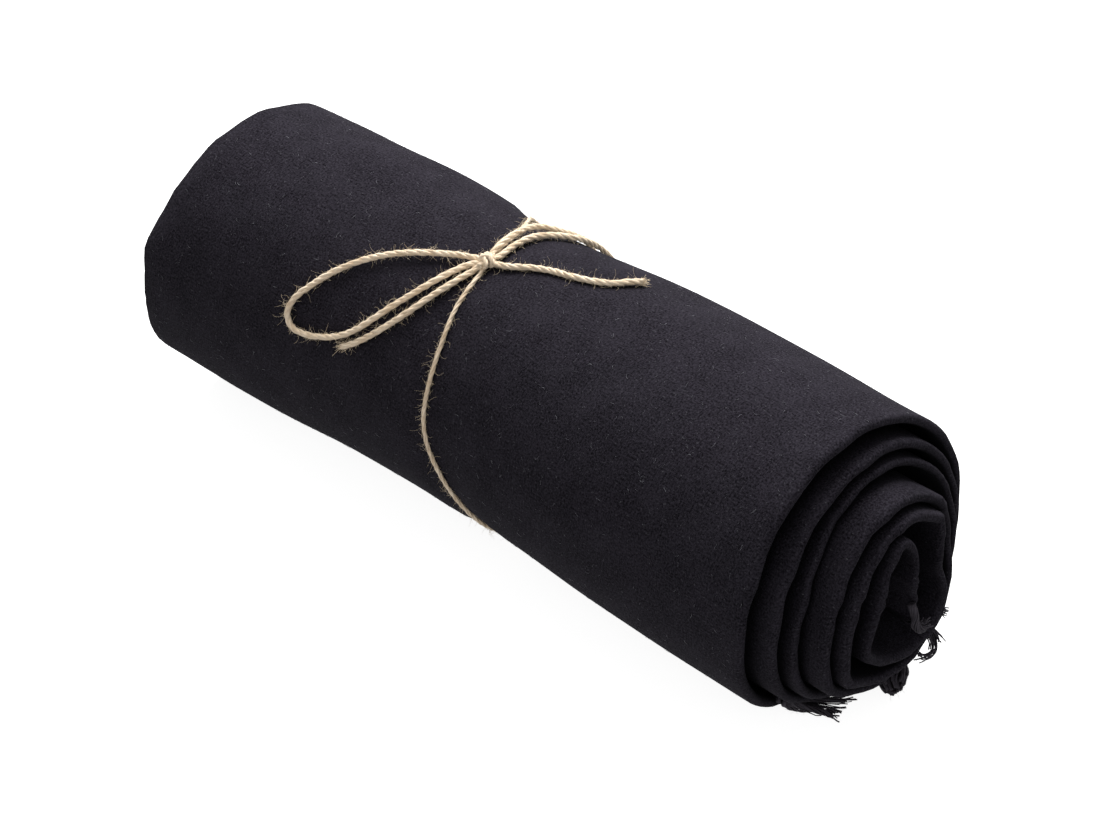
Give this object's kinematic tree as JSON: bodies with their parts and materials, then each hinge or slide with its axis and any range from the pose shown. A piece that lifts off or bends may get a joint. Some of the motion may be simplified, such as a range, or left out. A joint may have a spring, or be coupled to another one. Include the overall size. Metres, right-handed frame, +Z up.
{
  "type": "rolled tablecloth",
  "caption": "Fringed tablecloth folded lengthwise, rolled up and tied with a twine bow, lying on its side; covers a table once unrolled.",
  "frame": {"origin": "middle of the roll's outer box, on the surface the roll lies on", "axes": "+X along the roll, towards the end whose turns stand out; +Z up; +Y towards the side away from the fringe strands"},
  "size_m": [0.3836, 0.1317, 0.1311],
  "materials": {
    "cloth": "soft matte black woven cloth",
    "twine": "natural plied jute, rough and hairy"
  },
  "bodies": {
    "root": {"cloth_roll": "cloth", "fringe_front": "cloth", "fringe_back": "cloth", "tie_band": "twine", "bow_loop_left": "twine", "bow_loop_right": "twine", "bow_tail_left": "twine", "bow_tail_right": "twine", "tie_knot": "twine"}
  },
  "joints": []
}
